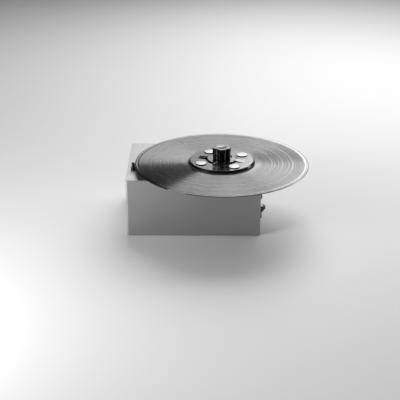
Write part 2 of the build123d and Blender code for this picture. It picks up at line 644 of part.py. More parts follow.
# ---- mains inlet --------------------------------------------------------------------------------
def mains_inlet():
    """Three-pin mains inlet with a fuse drawer's slot above its socket."""
    x = INLET_X
    inlet = block((x - INLET_HALF, x + INLET_HALF), (98.0, PANEL_OUT), (INLET_LOW + 1.2, INLET_HIGH - 1.2))
    flange = block((x - 15.0, x + 15.0), (PANEL_OUT, PANEL_OUT + 2.8), (INLET_LOW, INLET_HIGH))
    inlet += chamfer(flange.edges().group_by(Axis.Y)[-1], 0.6)
    socket = Plane.XZ * make_face(Polyline((-12.2, 14.0), (12.2, 14.0), (12.2, 25.6), (7.6, 30.4),
                                           (-7.6, 30.4), (-12.2, 25.6), close=True))
    inlet -= Pos(x, PANEL_OUT + 3.0, 0) * extrude(socket, 20.0)
    inlet -= block((x - 12.0, x + 12.0), (102.0, PANEL_OUT + 4), (DRAWER_LOW - 0.3, DRAWER_HIGH + 0.3))
    for dx, z in INLET_PINS:
        inlet -= block((x + dx - 1.05, x + dx + 1.05), (97.0, 108.0), (z - 2.05, z + 2.05))
    return inlet


def inlet_pins():
    """The three contact blades, which run through to solder tags."""
    pins = []
    for dx, z in INLET_PINS:
        x = INLET_X + dx
        pins.append(block((x - 1, x + 1), (92.0, PANEL_OUT - 1.0), (z - 2, z + 2)))
    return pins


def fuse_drawer():
    """Drawer that slides out of the inlet with the fuse."""
    x, face = INLET_X, PANEL_OUT + 2.8
    drawer = block((x - 11.7, x + 11.7), (102.6, face + 0.1), (DRAWER_LOW, DRAWER_HIGH))
    lip = block((x - 12.8, x + 12.8), (face + 0.1, face + 1.5), (DRAWER_LOW - 0.9, DRAWER_HIGH + 0.9))
    drawer += chamfer(lip.edges().group_by(Axis.Y)[-1], 0.4)
    drawer -= block((x - 10.2, x + 10.2), (105.0, 111.0), (DRAWER_LOW + 1.5, DRAWER_HIGH + 1))
    return drawer


def mains_fuse():
    """Glass cartridge fuse, 5 by 20."""
    lying = Rotation(0, 90, 0) * Cylinder(2.5, 20.0)
    return Pos(INLET_X, 108.0, DRAWER_LOW + 1.6 + 2.5) * lying


# ---- fluid side ---------------------------------------------------------------------------------
def tank_body():
    """Moulded fluid tank with rounded corners on two runners; its drain is low at the back."""
    centre = ((TANK_LEFT + TANK_RIGHT) / 2, (TANK_FRONT + TANK_BACK) / 2)
    width, depth = TANK_RIGHT - TANK_LEFT, TANK_BACK - TANK_FRONT
    plan = RectangleRounded(width, depth, TANK_CORNER_R)
    outside = Pos(*centre, TANK_LOW) * extrude(plan, TANK_TOP - TANK_LOW)
    room = RectangleRounded(width - 2 * TANK_WALL, depth - 2 * TANK_WALL, TANK_CORNER_R - TANK_WALL)
    tank = outside - Pos(*centre, TANK_LOW + TANK_WALL) * extrude(room, TANK_TOP)
    for y in (TANK_FRONT + 22, TANK_BACK - 34):
        tank += block((TANK_LEFT + 14, TANK_RIGHT - 14), (y - 3, y + 3), (FLOOR_TOP, TANK_LOW + 0.1))
    return tank - along_y(DRAIN_PIPE_R + 2 * RUN, TANK_BACK - 5, TANK_BACK + 1, DRAIN_X, DRAIN_Z)


def tank_lid():
    """Flat lid with a locating rim, a hose neck and the hole for the arm socket's tube."""
    centre = ((TANK_LEFT + TANK_RIGHT) / 2, (TANK_FRONT + TANK_BACK) / 2)
    width, depth = TANK_RIGHT - TANK_LEFT, TANK_BACK - TANK_FRONT
    lid = Pos(*centre, TANK_TOP) * extrude(RectangleRounded(width, depth, TANK_CORNER_R), LID_T)
    gap = 2 * TANK_WALL + 0.4
    spigot = RectangleRounded(width - gap, depth - gap, 5.4)
    spigot -= RectangleRounded(width - gap - 4, depth - gap - 4, 3.4)
    lid += Pos(*centre, TANK_TOP - 4.0) * extrude(spigot, 4.1)
    lid += rod(NECK_R, TANK_TOP + 1, TANK_TOP + NECK_H, TANK_NECK)
    lid -= rod(NECK_BORE_R, TANK_TOP - 1, TANK_TOP + NECK_H + 1, TANK_NECK)
    return lid - rod(SOCKET_TUBE_R + 2 * RUN, TANK_TOP - 5, TANK_TOP + 5, SOCKET)


def arm_socket():
    """Black socket for the suction arm: a low flange, a bored sleeve, and a tube into the tank."""
    shoulder, foot = SOCKET_TOP - SOCKET_DEPTH, TANK_TOP - 6
    flange, drip = 9.0, 4.8
    profile = [(SOCKET_R, shoulder), (SOCKET_R, SOCKET_TOP), (flange - 0.6, SOCKET_TOP),
               (flange, SOCKET_TOP - 0.6), (flange, CASE_TOP), (SOCKET_TUBE_R, CASE_TOP),
               (SOCKET_TUBE_R, foot), (drip, foot), (drip, shoulder)]
    return turned(profile, SOCKET)


def arm_rest():
    """Black post beside the record's edge, on a wider foot, screwed into the top plate."""
    foot, post, tall = 4.1, 2.85, 12.6
    profile = [(0, PLATE_LOW), (ARM_REST_STUD_R, PLATE_LOW), (ARM_REST_STUD_R, CASE_TOP), (foot, CASE_TOP),
               (foot, CASE_TOP + 4.0), (foot - 0.6, CASE_TOP + 4.6), (post, CASE_TOP + 4.8),
               (post, CASE_TOP + tall - 0.6), (post - 0.6, CASE_TOP + tall), (0, CASE_TOP + tall)]
    return turned(profile, ARM_REST)


def suction_hose():
    """Rubber hose from the tank's neck, up and over to the blower's inlet."""
    start = (*TANK_NECK, TANK_TOP + 2.6)
    end = (BLOWER[0], BLOWER[1], FAN_TOP + 2.6)
    route = FilletPolyline(start, (*TANK_NECK, HOSE_Z), (BLOWER[0], BLOWER[1], HOSE_Z), end, radius=13.0)
    ring = Plane(start, z_dir=(0, 0, 1)) * (Circle(HOSE_R) - Circle(HOSE_BORE_R))
    return sweep(ring, path=route)


def drain_valve():
    """Brass quarter-turn valve: a pipe through the tank's wall, a ball's chamber and a hose spigot."""
    body = along_y(DRAIN_PIPE_R, TANK_BACK - 4.5, VALVE_Y, DRAIN_X, DRAIN_Z)
    body += along_y(9.5, PANEL_OUT + 0.2, VALVE_Y + 7.5, DRAIN_X, DRAIN_Z)
    body += along_y(SPIGOT_R, VALVE_Y, VALVE_Y + 19.0, DRAIN_X, DRAIN_Z)
    body += rod(5.0, DRAIN_Z + 5, DRAIN_Z + 13.0, (DRAIN_X, VALVE_Y))
    body -= Pos(DRAIN_X, VALVE_Y, DRAIN_Z) * Sphere(BALL_R + 2 * RUN)
    body -= rod(STEM_R + RUN, DRAIN_Z, DRAIN_Z + 14, (DRAIN_X, VALVE_Y))
    return body - along_y(DRAIN_BORE_R, TANK_BACK - 6, VALVE_Y + 20, DRAIN_X, DRAIN_Z)


def drain_ball():
    """Steel ball with a hole across it, on the stem that turns it."""
    ball = Pos(DRAIN_X, VALVE_Y, DRAIN_Z) * Sphere(BALL_R)
    ball += rod(STEM_R, DRAIN_Z + 5, DRAIN_Z + 16.0, (DRAIN_X, VALVE_Y))
    bore = Pos(DRAIN_X, VALVE_Y, DRAIN_Z) * Rotation(0, 90, 0) * Cylinder(DRAIN_BORE_R, 20.0)
    return ball - bore


def drain_lever():
    """Flat lever on the valve's stem; it lies across the pipe while the valve is shut."""
    low = DRAIN_Z + 13.4
    arm = Pos(DRAIN_X + 8.0, VALVE_Y, low) * extrude(SlotOverall(26.0, 9.0), 1.8)
    return arm - rod(STEM_R + PRESSED, low - 1, low + 3, (DRAIN_X, VALVE_Y))


# ---- blower -------------------------------------------------------------------------------------
def blower_mounts():
    """Three rubber posts under the blower."""
    return [rod(5.0, FLOOR_TOP, 9.5, at) for at in around(18.0, 3, 30.0, BLOWER)]


def blower_motor():
    """Closed motor with end bells and a boss that centres the fan housing."""
    profile = [(0, 9.5), (23.5, 9.5), (24.5, 10.5), (24.5, 16.0), (26.0, 16.5), (26.0, 36.0),
               (25.0, FAN_LOW), (7.5, FAN_LOW), (7.5, FAN_LOW + 2.5), (0, FAN_LOW + 2.5)]
    return turned(profile, BLOWER) - rod(BLOWER_SHAFT_R + RUN, 24.0, FAN_LOW + 3, BLOWER)


def blower_housing():
    """Round fan chamber with a square spout that leads to the slots of the rear panel."""
    room = FAN_R - FAN_WALL
    spout_z = (FAN_LOW + 4.0, FAN_LOW + 22.0)
    wall = (SPOUT[0] - 2, SPOUT[1] + 2)
    shell = rod(FAN_R, FAN_LOW, FAN_TOP, BLOWER)
    shell += block(wall, (BLOWER[1], PANEL_IN - 0.2), (spout_z[0] - 2, spout_z[1] + 2))
    shell -= rod(room, FAN_LOW + 2.0, FAN_TOP + 1, BLOWER)
    shell -= block(SPOUT, (BLOWER[1], PANEL_IN + 1), spout_z)
    return shell - rod(7.6, FAN_LOW - 1, FAN_LOW + 3, BLOWER)


def blower_cover():
    """Lid of the fan chamber with the inlet neck."""
    cover = rod(FAN_R, FAN_TOP, FAN_TOP + 2.2, BLOWER) + rod(NECK_R, FAN_TOP + 1, FAN_TOP + NECK_H, BLOWER)
    cover += tube(FAN_R - FAN_WALL - 0.3, FAN_R - FAN_WALL - 2.0, FAN_TOP - 1.5, FAN_TOP + 0.1, BLOWER)
    return cover - rod(NECK_BORE_R, FAN_TOP - 1, FAN_TOP + NECK_H + 1, BLOWER)


def blower_shaft():
    """Shaft shared by the blower's motor and fan."""
    return rod(BLOWER_SHAFT_R, 25.0, 56.0, BLOWER)


def blower_impeller():
    """Fan wheel with eight blades that lean back from the way it turns."""
    low = FAN_LOW + 4.0
    wheel = rod(30.0, low, low + 1.6) + rod(6.0, low, low + 15.0)
    for i in range(8):
        arc = ThreePointArc((9.0, 0.0), (20.0, 4.2), (29.0, 13.0))
        blade = extrude(Pos(0, 0, low + 1.5) * trace(arc, line_width=1.4), 14.5)
        wheel += Rotation(0, 0, 45.0 * i) * blade
    wheel = wheel & rod(30.0, low, low + 16.0)
    wheel -= rod(BLOWER_SHAFT_R + PRESSED, low - 1, low + 20)
    return Pos(*BLOWER, 0) * wheel


# ---- electrics ----------------------------------------------------------------------------------
def power_board():
    """Printed circuit board of the power supply."""
    board = block(BOARD_X, BOARD_Y, (BOARD_LOW, BOARD_TOP))
    for at in BOARD_POSTS:
        board -= rod(1.55, BOARD_LOW - 1, BOARD_TOP + 1, at)
    return board


def board_posts():
    """Nylon posts with snap tips that hold the board off the base plate."""
    posts = []
    for at in BOARD_POSTS:
        post = rod(3.0, FLOOR_TOP, BOARD_LOW, at) + rod(1.5, BOARD_LOW - 0.1, BOARD_TOP, at)
        tip = turned([(0, BOARD_TOP), (2.1, BOARD_TOP), (1.0, BOARD_TOP + 2), (0, BOARD_TOP + 2)], at)
        posts.append(post + tip)
    return posts


def transformer():
    """Mains transformer: a laminated core round a bobbin."""
    x, y = -116.0, -24.0
    core = block((x - 17, x + 17), (y - 9, y + 9), (BOARD_TOP, BOARD_TOP + 28))
    for dx in (-8.5, 8.5):
        core -= block((x + dx - 3, x + dx + 3), (y - 10, y + 10), (BOARD_TOP + 5.5, BOARD_TOP + 22.5))
    coil = block((x - 11.3, x + 11.3), (y - 14, y + 14), (BOARD_TOP + 5.7, BOARD_TOP + 22.3))
    window = block((x - 5.6, x + 5.6), (y - 15, y + 15), (BOARD_TOP + 5.5, BOARD_TOP + 22.5))
    return [core, coil - window]


def board_parts():
    """Capacitors, heat sink and the two terminal blocks of the board."""
    capacitors = [rod(6.0, BOARD_TOP, BOARD_TOP + 20, (-84.0, y)) for y in (-36.0, -22.0)]
    sink = block((-96.5, -93.0), (-46.0, -6.0), (BOARD_TOP, BOARD_TOP + 22))
    blocks = [block((-78.0, -68.0), y, (BOARD_TOP, BOARD_TOP + 9)) for y in ((-13.0, -4.0), (-42.0, -13.5))]
    return capacitors + [sink] + blocks


def wiring():
    """Insulated leads from the board to the inlet, the switches and the two motors."""
    edge = -67.7
    low = VACUUM_SWITCH_Z - BLADE_STEP
    high = MOTOR_SWITCH_Z - BLADE_STEP
    routes = [
        ([(edge, -8.0, 17.0), (-52.0, -8.0, 17.0), (-44.8, 12.0, 15.0), (-44.8, 50.0, 17.0),
          (-44.8, 91.8, 19.8)], 5.0),
        ([(edge, -18.0, 17.0), (-50.0, -18.0, 17.0), (-20.0, -26.0, 15.0), (20.0, -30.0, 17.0),
          (36.0, SWITCH_Y, low), (47.9, SWITCH_Y, low)], 5.0),
        ([(edge, -28.0, 17.0), (-52.0, -28.0, 17.0), (-20.0, -40.0, 17.0), (14.0, -44.0, 26.0),
          (28.0, -40.0, 50.0), (36.0, SWITCH_Y, high), (47.9, SWITCH_Y, high)], 5.0),
        ([(edge, -38.0, 17.0), (-60.0, -38.0, 17.0), (-55.0, -38.0, 30.0), (-55.0, -38.0, 62.0),
          (-52.0, -30.0, 84.0), (-50.4, -14.0, 96.5), (-50.4, -0.7, 96.5)], 4.0),
        ([(edge, -34.0, 17.0), (-52.0, -34.0, 17.0), (-32.0, -20.0, 9.0), (-24.0, 20.0, 9.0),
          (-20.0, 75.1, 13.0), (-4.2, 75.1, 13.0)], 5.0),
    ]
    leads = []
    for points, radius in routes:
        route = FilletPolyline(*points, radius=radius)
        start = Plane(origin=route @ 0, z_dir=route % 0)
        leads.append(sweep(start * RegularPolygon(1.1, 8), path=route))
    return leads


# ---- writing ------------------------------------------------------------------------------------
def every_piece():
    """Node name to its solid or solids."""
    pieces = {
        "case_wrap": case_wrap(), "top_plate": top_plate(), "base_plate": base_plate(),
        "rear_panel": rear_panel(), "corner_pillars": corner_pillars(),
        "case_fasteners": case_fasteners(), "feet": [foot(at) for at in foot_places()],
        "bearing_housing": bearing_housing(), "bearing_bushes": bearing_bushes(),
        "thrust_washer": thrust_washer(), "spindle_shaft": spindle_shaft(), "platter": platter(),
        "platter_mat": platter_mat(), "record": record(), "record_labels": record_labels(),
        "spindle_gear": spindle_gear(), "gear_circlip": gear_circlip(), "drive_plate": drive_plate(),
        "drive_posts": drive_posts(), "drive_screws": drive_screws(), "drive_motor": drive_motor(),
        "motor_shaft": motor_shaft(), "motor_pinion": motor_pinion(), "clamp_body": clamp_body(),
        "clamp_seal": clamp_seal(), "clamp_index_pin": clamp_index_pin(), "clamp_knob": clamp_knob(),
        "clamp_nut": clamp_nut(), "clamp_circlip": clamp_circlip(),
        "vacuum_switch": switch_body(VACUUM_SWITCH_Z), "vacuum_rocker": rocker(VACUUM_SWITCH_Z, ROCKER_TILT),
        "motor_switch": switch_body(MOTOR_SWITCH_Z), "motor_rocker": rocker(MOTOR_SWITCH_Z, ROCKER_TILT),
        "mains_inlet": mains_inlet(), "inlet_pins": inlet_pins(), "fuse_drawer": fuse_drawer(),
        "mains_fuse": mains_fuse(), "tank_body": tank_body(), "tank_lid": tank_lid(),
        "arm_socket": arm_socket(), "arm_rest": arm_rest(), "suction_hose": suction_hose(),
        "drain_valve": drain_valve(), "drain_ball": drain_ball(), "drain_lever": drain_lever(),
        "blower_mounts": blower_mounts(), "blower_motor": blower_motor(),
        "blower_housing": blower_housing(), "blower_cover": blower_cover(),
        "blower_shaft": blower_shaft(), "blower_impeller": blower_impeller(),
        "power_board": power_board(), "board_posts": board_posts(), "transformer": transformer(),
        "board_parts": board_parts(), "wiring": wiring(),
    }
    for i, at in enumerate(around(CAP_PITCH_R, 4, CAP_ANGLE)):
        pieces[f"clamp_cap_{i + 1}"] = clamp_cap(at)
    return pieces


os.makedirs("parts", exist_ok=True)
for name, shape in every_piece().items():
    whole = Compound(children=shape) if isinstance(shape, list) else shape
    export_step(whole, f"parts/{name}.step")
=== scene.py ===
import math

import bmesh
import bpy
from mathutils import Matrix, Vector


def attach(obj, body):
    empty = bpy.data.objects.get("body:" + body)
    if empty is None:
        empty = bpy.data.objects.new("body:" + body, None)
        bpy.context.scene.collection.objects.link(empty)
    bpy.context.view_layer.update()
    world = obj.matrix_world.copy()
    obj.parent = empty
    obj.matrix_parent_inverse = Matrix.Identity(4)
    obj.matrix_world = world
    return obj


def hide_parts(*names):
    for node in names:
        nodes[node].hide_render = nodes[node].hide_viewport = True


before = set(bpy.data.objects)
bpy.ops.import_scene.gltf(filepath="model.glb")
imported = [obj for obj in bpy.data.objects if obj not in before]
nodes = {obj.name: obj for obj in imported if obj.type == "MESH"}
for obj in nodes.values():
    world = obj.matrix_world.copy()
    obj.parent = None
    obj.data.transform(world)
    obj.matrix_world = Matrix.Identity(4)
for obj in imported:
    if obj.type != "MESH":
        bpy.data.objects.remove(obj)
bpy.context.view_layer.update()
MM = 0.001


# ---- base plate and rear panel ------------------------------------------------------------------
# Folded and punched sheet steel that closes the case below and behind. It is powder coated black:
# the coat flows out while it bakes, so it has a faint orange peel and a low, even sheen.
def linear(code):
    """A colour written as sRGB hex, in the linear numbers that a shader takes."""
    parts = [int(code[i:i + 2], 16) / 255 for i in (1, 3, 5)]
    return [p / 12.92 if p <= 0.04045 else ((p + 0.055) / 1.055) ** 2.4 for p in parts] + [1.0]


def add(tree, kind, inputs=None, **settings):
    """Adds a node with its settings; an input takes a value or another node's output."""
    made = tree.nodes.new(kind)
    for name, value in settings.items():
        setattr(made, name, value)
    for name, value in (inputs or {}).items():
        if isinstance(value, bpy.types.NodeSocket):
            tree.links.new(value, made.inputs[name])
        else:
            made.inputs[name].default_value = value
    return made


def blank(name):
    """A material with an empty node tree."""
    material = bpy.data.materials.new(name)
    material.use_nodes = True
    material.node_tree.nodes.clear()
    return material, material.node_tree


NOISES_LOW, NOISES_HIGH = 0.6, 1.4   # two noises added together seldom leave this range
ROUGH_SWING = 0.05   # how far the roughness moves up and down with them


def grained(name, colour, rough, grain_mm, relief_mm, metallic=0.0, uneven=0.08, drift_mm=35.0,
            gloss=0.5):
    """A finish with a fine grain, a slow drift of shade and a roughness that follows both."""
    material, tree = blank(name)
    place = add(tree, "ShaderNodeTexCoord").outputs["Object"]
    grain = add(tree, "ShaderNodeTexNoise", {
        "Vector": place, "Scale": 1 / (grain_mm * MM), "Detail": 3.0})
    drift = add(tree, "ShaderNodeTexNoise", {
        "Vector": place, "Scale": 1 / (drift_mm * MM), "Detail": 2.0})
    both = add(tree, "ShaderNodeMath", {
        0: grain.outputs["Fac"], 1: drift.outputs["Fac"]}, operation="ADD")
    shade = add(tree, "ShaderNodeMapRange", {
        "Value": both.outputs[0], "From Min": NOISES_LOW, "From Max": NOISES_HIGH,
        "To Min": 1 - uneven, "To Max": 1 + uneven})
    tone = add(tree, "ShaderNodeHueSaturation", {
        "Color": linear(colour), "Value": shade.outputs[0]})
    sheen = add(tree, "ShaderNodeMapRange", {
        "Value": both.outputs[0], "From Min": NOISES_LOW, "From Max": NOISES_HIGH,
        "To Min": rough - ROUGH_SWING, "To Max": rough + ROUGH_SWING})
    relief = add(tree, "ShaderNodeBump", {
        "Height": grain.outputs["Fac"], "Strength": 0.5, "Distance": relief_mm * MM})
    shader = add(tree, "ShaderNodeBsdfPrincipled", {
        "Base Color": tone.outputs[0], "Metallic": metallic, "Roughness": sheen.outputs[0],
        "Specular IOR Level": gloss, "Normal": relief.outputs[0]})
    add(tree, "ShaderNodeOutputMaterial", {"Surface": shader.outputs[0]})
    return material


def dress(material, *names):
    """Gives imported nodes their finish."""
    for name in names:
        nodes[name].material_slots[0].material = material


powder_coat = grained("powder_coated_steel", "#1d1d1f", rough=0.52, grain_mm=1.3, relief_mm=0.02)
dress(powder_coat, "base_plate", "rear_panel")

# ---- feet ---------------------------------------------------------------------------------------
# Four low rubber feet with barbed stems, pushed up through the base plate.
# Moulded rubber is dull, and its mould leaves a fine matt skin.
rubber = grained("moulded_rubber", "#141414", rough=0.78, grain_mm=0.5, relief_mm=0.03, uneven=0.15)
dress(rubber, "feet", "blower_mounts", "suction_hose")

# ---- case ---------------------------------------------------------------------------------------
# The front and sides are one folded aluminium sheet and the top is a flat plate laid over it.
# Both are blasted with fine glass beads and clear anodised, which gives a soft, pale satin sheen.
anodised = grained("bead_blasted_anodised_aluminium", "#a9a9a9", rough=0.47, grain_mm=0.35,
                   relief_mm=0.006, metallic=1.0, uneven=0.03, drift_mm=90.0)
dress(anodised, "case_wrap", "top_plate")

# ---- pillars, screws and the bearing's housing --------------------------------------------------
# Long screws and tubular pillars tie the base to the top plate. The spindle's housing is turned
# from aluminium bar, with bushes pressed into it and a nylon washer under the spindle's collar.

# Zinc plating is bright, with a slight cloudiness.
zinc = grained("zinc_plated_steel", "#b6b9bd", rough=0.32, grain_mm=0.8, relief_mm=0.004,
               metallic=1.0)
dress(zinc, "corner_pillars", "case_fasteners", "drive_plate", "drive_screws")

# Turned aluminium is a little brighter and finer than the plating.
turned_alloy = grained("turned_aluminium", "#b9babc", rough=0.28, grain_mm=0.4, relief_mm=0.004,
                       metallic=1.0)
dress(turned_alloy, "bearing_housing")

# Sintered bronze is brown and open-pored, so it is uneven and half matt.
bronze = grained("sintered_bronze", "#9a7247", rough=0.5, grain_mm=0.3, relief_mm=0.01,
                 metallic=1.0, uneven=0.15)
dress(bronze, "bearing_bushes")

# Natural nylon is off-white, with a soft sheen from the mould.
nylon = grained("moulded_nylon", "#dcdad2", rough=0.45, grain_mm=1.5, relief_mm=0.01, uneven=0.04)
dress(nylon, "thrust_washer", "spindle_gear", "blower_impeller", "board_posts")

# ---- turntable drive ----------------------------------------------------------------------------
# A small gear motor turns the spindle through a brass pinion and a moulded wheel. It stands on a
# steel plate that hangs from the top plate on hexagonal brass pillars.

# Ground and rolled steel is bright, with a fine grain.
steel = grained("ground_steel", "#a4a6a9", rough=0.26, grain_mm=0.5, relief_mm=0.003, metallic=1.0)
dress(steel, "spindle_shaft", "gear_circlip", "drive_motor", "motor_shaft", "clamp_circlip",
      "blower_motor", "blower_shaft", "transformer", "drain_ball", "drain_lever")

# Cut brass is a warm, pale yellow.
brass = grained("machined_brass", "#c2a15c", rough=0.27, grain_mm=0.6, relief_mm=0.004,
                metallic=1.0)
dress(brass, "drive_posts", "motor_pinion", "clamp_nut", "inlet_pins", "drain_valve")

# ---- fluid side and electrics -------------------------------------------------------------------
# A moulded tank takes the fluid that a fan draws off the record. Beside them are a printed circuit
# board with its parts, and the wires.

# Natural polyethylene is milky and waxy.
natural_pe = grained("natural_polyethylene", "#cfd2cf", rough=0.42, grain_mm=2.0, relief_mm=0.02,
                     uneven=0.05)
dress(natural_pe, "tank_body", "tank_lid")

# Black polypropylene has the even, low sheen of its mould.
black_pp = grained("moulded_polypropylene", "#202124", rough=0.45, grain_mm=0.9, relief_mm=0.02)
dress(black_pp, "blower_housing", "blower_cover", "board_parts")

# Solder mask is a smooth dark green lacquer.
solder_mask = grained("solder_mask", "#0f3d22", rough=0.3, grain_mm=3.0, relief_mm=0.01)
dress(solder_mask, "power_board")

# The wires' insulation is extruded red vinyl, smooth and half gloss.
insulation = grained("pvc_insulation", "#7a1d18", rough=0.4, grain_mm=1.0, relief_mm=0.01)
dress(insulation, "wiring")

# ---- platter ------------------------------------------------------------------------------------
# A label-sized moulded platter with a thin rubber mat on it, so that the playing area stays free.
# The platter is satin black ABS with a fine spark-eroded texture.
satin_abs = grained("spark_eroded_abs", "#191a1b", rough=0.48, grain_mm=0.45, relief_mm=0.015,
                    uneven=0.1)
dress(satin_abs, "platter", "clamp_index_pin", "vacuum_switch", "motor_switch", "mains_inlet",
      "fuse_drawer", "arm_socket")
dress(rubber, "platter_mat")

# ---- record -------------------------------------------------------------------------------------
# A pressed vinyl record: a sunk label with a ridge round it, a plain land, four grooved bands with
# smooth gaps between them, a lead-in and a rounded edge bead. Both sides are alike.
SPINDLE = Vector((6.6, 0.0, 0.0)) * MM
RECORD_LOW, RECORD_TOP, RECORD_R = 112.3, 114.5, 150.75
RECORD_STEPS = 360
HOLE_R, LABEL_R = 3.62, 50.05
RIDGE = (50.1, 50.6)
LAND = (51.4, 70.0)
GROOVES = (70.0, 144.0)
GAPS = ((86.0, 88.5), (104.5, 107.5), (121.5, 124.5))
LABEL_DEPTH, LAND_DEPTH, GROOVE_DEPTH = 0.15, 0.3, 0.35
BAND_WALL = 0.05
BEAD = [(147.0, LAND_DEPTH), (147.6, 0.17), (148.2, 0.05), (148.6, 0.0), (149.1, 0.05),
        (149.6, 0.16), (150.0, 0.32), (150.4, 0.62), (150.65, 0.9)]
CREASE = math.radians(28.0)   # edges that turn by more than this stay sharp
MERGE = 1e-7   # metres: points nearer than this to each other are made one


def settled(name, shape):
    """Makes a piece of a finished bmesh: normals outwards, smooth but for edges past the crease."""
    bmesh.ops.recalc_face_normals(shape, faces=shape.faces)
    for face in shape.faces:
        face.smooth = True
    for edge in shape.edges:
        edge.smooth = edge.calc_face_angle(0.0) < CREASE
    mesh = bpy.data.meshes.new(name)
    shape.to_mesh(mesh)
    shape.free()
    piece = bpy.data.objects.new(name, mesh)
    bpy.context.scene.collection.objects.link(piece)
    return piece


def turned(name, profile, steps, at):
    """A closed (radius, height) outline in millimetres, turned about an upright axis."""
    shape = bmesh.new()
    points = [shape.verts.new((r * MM, 0.0, z * MM)) for r, z in profile]
    edges = [shape.edges.new(pair) for pair in zip(points, points[1:] + points[:1])]
    bmesh.ops.spin(shape, geom=points + edges, axis=(0, 0, 1), cent=(0, 0, 0), steps=steps,
                   angle=math.tau, use_merge=True)
    bmesh.ops.remove_doubles(shape, verts=shape.verts, dist=MERGE)
    bmesh.ops.translate(shape, verts=shape.verts, vec=at)
    return settled(name, shape)


def record_side():
    """(radius, depth below the record's highest) from the hole to the edge, on one side."""
    side = [(HOLE_R, LABEL_DEPTH), (LABEL_R, LABEL_DEPTH), (RIDGE[0], 0.0), (RIDGE[1], 0.0),
            (LAND[0], LAND_DEPTH), (LAND[1], LAND_DEPTH)]
    start = GROOVES[0]
    for low, high in GAPS:
        side += [(start + BAND_WALL, GROOVE_DEPTH), (low, GROOVE_DEPTH),
                 (low + BAND_WALL, LAND_DEPTH), (high, LAND_DEPTH)]
        start = high
    return side + [(start + BAND_WALL, GROOVE_DEPTH), (GROOVES[1], GROOVE_DEPTH),
                   (GROOVES[1] + BAND_WALL, LAND_DEPTH)] + BEAD


upper = [(r, RECORD_TOP - d) for r, d in record_side()]
lower = [(r, RECORD_LOW + d) for r, d in reversed(record_side())]
record = turned("pressed_record", upper + [(RECORD_R, (RECORD_TOP + RECORD_LOW) / 2)] + lower,
                RECORD_STEPS, SPINDLE)

# Vinyl with carbon black is a deep, glossy black. Real grooves are a tenth of a millimetre apart.
# These rings are drawn 1.3 mm apart so that they show. Louder and quieter passages are a few
# millimetres wide, and the land and the gaps have shallower rings than the bands.
PITCH_MM, RING_RELIEF_MM = 1.3, 0.03
PASSAGE_MM = 3.5
LAND_LEVEL, GAP_LEVEL = 0.75, 0.7
PLAIN_ROUGH, GROOVED_ROUGH = 0.1, 0.33
WAVE_RATE = 20   # a wave texture multiplies distance by this before it takes the sine

vinyl, tree = blank("carbon_black_vinyl")
place = add(tree, "ShaderNodeTexCoord").outputs["Object"]
centred = add(tree, "ShaderNodeMapping", {
    "Vector": place, "Location": -SPINDLE, "Scale": (1, 1, 0)})
radius = add(tree, "ShaderNodeVectorMath", {0: centred.outputs[0]}, operation="LENGTH")
reach = add(tree, "ShaderNodeMath", {
    0: radius.outputs["Value"], 1: 1 / (RECORD_R * MM)}, operation="MULTIPLY")
grooved = add(tree, "ShaderNodeValToRGB", {"Fac": reach.outputs[0]})
grooved.color_ramp.interpolation = "CONSTANT"
stops = [(0.0, 0.0), (LAND[0], LAND_LEVEL), (GROOVES[0], 1.0)]
for low, high in GAPS:
    stops += [(low, GAP_LEVEL), (high, 1.0)]
stops += [(GROOVES[1], 0.0)]
while len(grooved.color_ramp.elements) < len(stops):
    grooved.color_ramp.elements.new(1.0)
for element, (r, level) in zip(grooved.color_ramp.elements, stops):
    element.position = r / RECORD_R
    element.color = (level, level, level, 1)
ring = add(tree, "ShaderNodeTexWave", {
    "Vector": centred.outputs[0], "Scale": math.tau / (WAVE_RATE * PITCH_MM * MM),
    "Distortion": 0.0}, wave_type="RINGS", rings_direction="Z")
passage = add(tree, "ShaderNodeTexNoise", {
    "W": radius.outputs["Value"], "Scale": 1 / (PASSAGE_MM * MM), "Detail": 2.0},
    noise_dimensions="1D")
loudness = add(tree, "ShaderNodeMapRange", {
    "Value": passage.outputs["Fac"], "From Min": 0.35, "From Max": 0.65,
    "To Min": 0.72, "To Max": 1.0})
cut = add(tree, "ShaderNodeMath", {
    0: grooved.outputs[0], 1: loudness.outputs[0]}, operation="MULTIPLY")
depth = add(tree, "ShaderNodeMath", {
    0: ring.outputs["Fac"], 1: cut.outputs[0]}, operation="MULTIPLY")
relief = add(tree, "ShaderNodeBump", {
    "Height": depth.outputs[0], "Strength": 0.2, "Distance": RING_RELIEF_MM * MM})
sheen = add(tree, "ShaderNodeMapRange", {
    "Value": cut.outputs[0], "To Min": PLAIN_ROUGH, "To Max": GROOVED_ROUGH})

# A groove's two walls lean towards and away from the spindle, so the light comes back in two lobes,
# each spread along the radius. They give the bright fans and the dark one that stand still in the
# light while the record turns.
WALL_LEAN = 0.3
around = add(tree, "ShaderNodeTangent", direction_type="RADIAL", axis="Z")
outward = add(tree, "ShaderNodeVectorMath", {0: centred.outputs[0]}, operation="NORMALIZE")
slope = add(tree, "ShaderNodeMath", {0: cut.outputs[0], 1: WALL_LEAN}, operation="MULTIPLY")
lean = add(tree, "ShaderNodeVectorMath", {
    0: outward.outputs[0], "Scale": slope.outputs[0]}, operation="SCALE")
walls = []
for way in ("ADD", "SUBTRACT"):
    leaning = add(tree, "ShaderNodeVectorMath", {
        0: relief.outputs[0], 1: lean.outputs[0]}, operation=way)
    facing = add(tree, "ShaderNodeVectorMath", {0: leaning.outputs[0]}, operation="NORMALIZE")
    walls.append(add(tree, "ShaderNodeBsdfPrincipled", {
        "Base Color": linear("#0c0c0d"), "Roughness": sheen.outputs[0], "IOR": 1.54,
        "Specular IOR Level": 1.0, "Anisotropic": 1.0, "Anisotropic Rotation": 0.25,
        "Normal": facing.outputs[0], "Tangent": around.outputs[0]}))
groove = add(tree, "ShaderNodeMixShader", {
    0: 0.5, 1: walls[0].outputs[0], 2: walls[1].outputs[0]})
